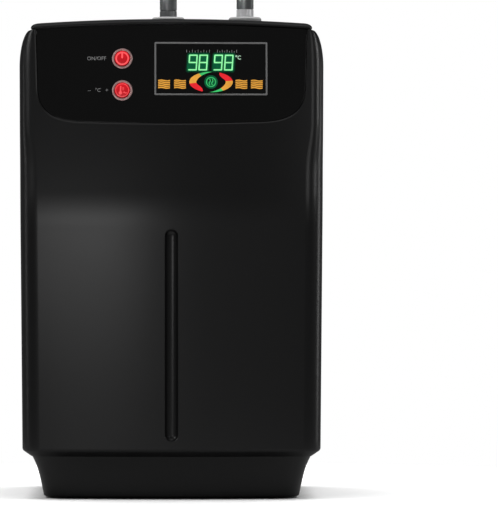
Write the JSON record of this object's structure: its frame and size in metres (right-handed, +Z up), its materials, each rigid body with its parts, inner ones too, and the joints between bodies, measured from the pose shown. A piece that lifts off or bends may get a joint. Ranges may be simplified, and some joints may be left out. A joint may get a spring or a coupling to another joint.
{
  "type": "boiling water unit",
  "caption": "Under-counter boiling water unit: black moulded casing, gloss control panel with push buttons and display, front groove, flared plinth and pipe stubs on the lid.",
  "frame": {"origin": "middle of the footprint, at the bottom of the feet", "axes": "+Z up through the lid, the front with the control panel towards -Y, +X to the right of a person who faces it"},
  "size_m": [0.214, 0.2, 0.375],
  "materials": {
    "casing": "satin black moulded plastic, fine grain",
    "gloss": "high gloss black",
    "trim": "fine grey trim line",
    "lens": "smoked gloss lens",
    "red": "glossy red",
    "ring": "bright ring with a warm tint",
    "rubber": "matt black rubber",
    "steel": "bright polished steel",
    "dark_steel": "dark grey metal",
    "collar": "light grey moulding",
    "sleeve": "dark grey sleeve with a soft sheen",
    "foam": null,
    "brass": "machined brass",
    "board": "green circuit board",
    "black": "black moulded plastic",
    "aluminium": "plain extruded aluminium",
    "cream": "cream moulded plastic",
    "zinc": "zinc plated steel",
    "white": "white plastic"
  },
  "bodies": {
    "unit": {"front_cover": "casing", "rear_casing": "casing", "top_lid": "casing", "base_plinth": "casing", "control_panel": "gloss", "display_frame": "trim", "display_window": "lens", "power_button_ring": "ring", "temperature_button_ring": "ring", "foot_1": "rubber", "foot_2": "rubber", "foot_3": "rubber", "foot_4": "rubber", "element_washer": "rubber", "drain_washer": "rubber", "mains_lead": "rubber", "live_lead": "rubber", "tank": "steel", "temperature_probe": "steel", "hot_pipe": "steel", "drain_pipe": "steel", "cold_pipe": "dark_steel", "cold_collar": "collar", "hot_collar": "collar", "cold_sleeve": "sleeve", "hot_sleeve": "sleeve", "insulation_front": "foam", "insulation_rear": "foam", "heating_element": "brass", "cold_lock_nut": "brass", "hot_lock_nut": "brass", "display_board": "board", "power_board": "board", "base_plate": "black", "display_module": "black", "power_switch": "black", "temperature_switch": "black", "thermal_cutout": "black", "relay": "black", "mains_inlet": "black", "heat_sink": "aluminium", "terminal_block": "cream", "neutral_lead": "cream", "display_ribbon": "cream", "base_screw_1": "zinc", "base_screw_2": "zinc", "base_screw_3": "zinc", "base_screw_4": "zinc", "rear_screw_1": "zinc", "rear_screw_2": "zinc", "rear_screw_3": "zinc", "rear_screw_4": "zinc", "board_screw_1": "zinc", "board_screw_2": "zinc", "power_board_screw_1": "zinc", "power_board_screw_2": "zinc", "cold_dip_tube": "white"},
    "power_button": {"power_button": "red"},
    "temperature_button": {"temperature_button": "red"},
    "drain_plug": {"drain_plug": "brass"}
  },
  "joints": [
    {"name": "power_button_push", "type": "slide", "parent": "unit", "child": "power_button", "axis": [0.0683, 0.988, -0.1388], "range_m": [0, 0.0006], "stiffness_N_per_m": 800, "springref_m": -0.0005},
    {"name": "temperature_button_push", "type": "slide", "parent": "unit", "child": "temperature_button", "axis": [0.0683, 0.988, -0.1388], "range_m": [0, 0.0006], "stiffness_N_per_m": 800, "springref_m": -0.0005},
    {"name": "drain_plug_turn", "type": "hinge", "parent": "unit", "child": "drain_plug", "pos_m": [0, 0, 0.011], "axis": [0, 0, 1], "continuous": true}
  ]
}
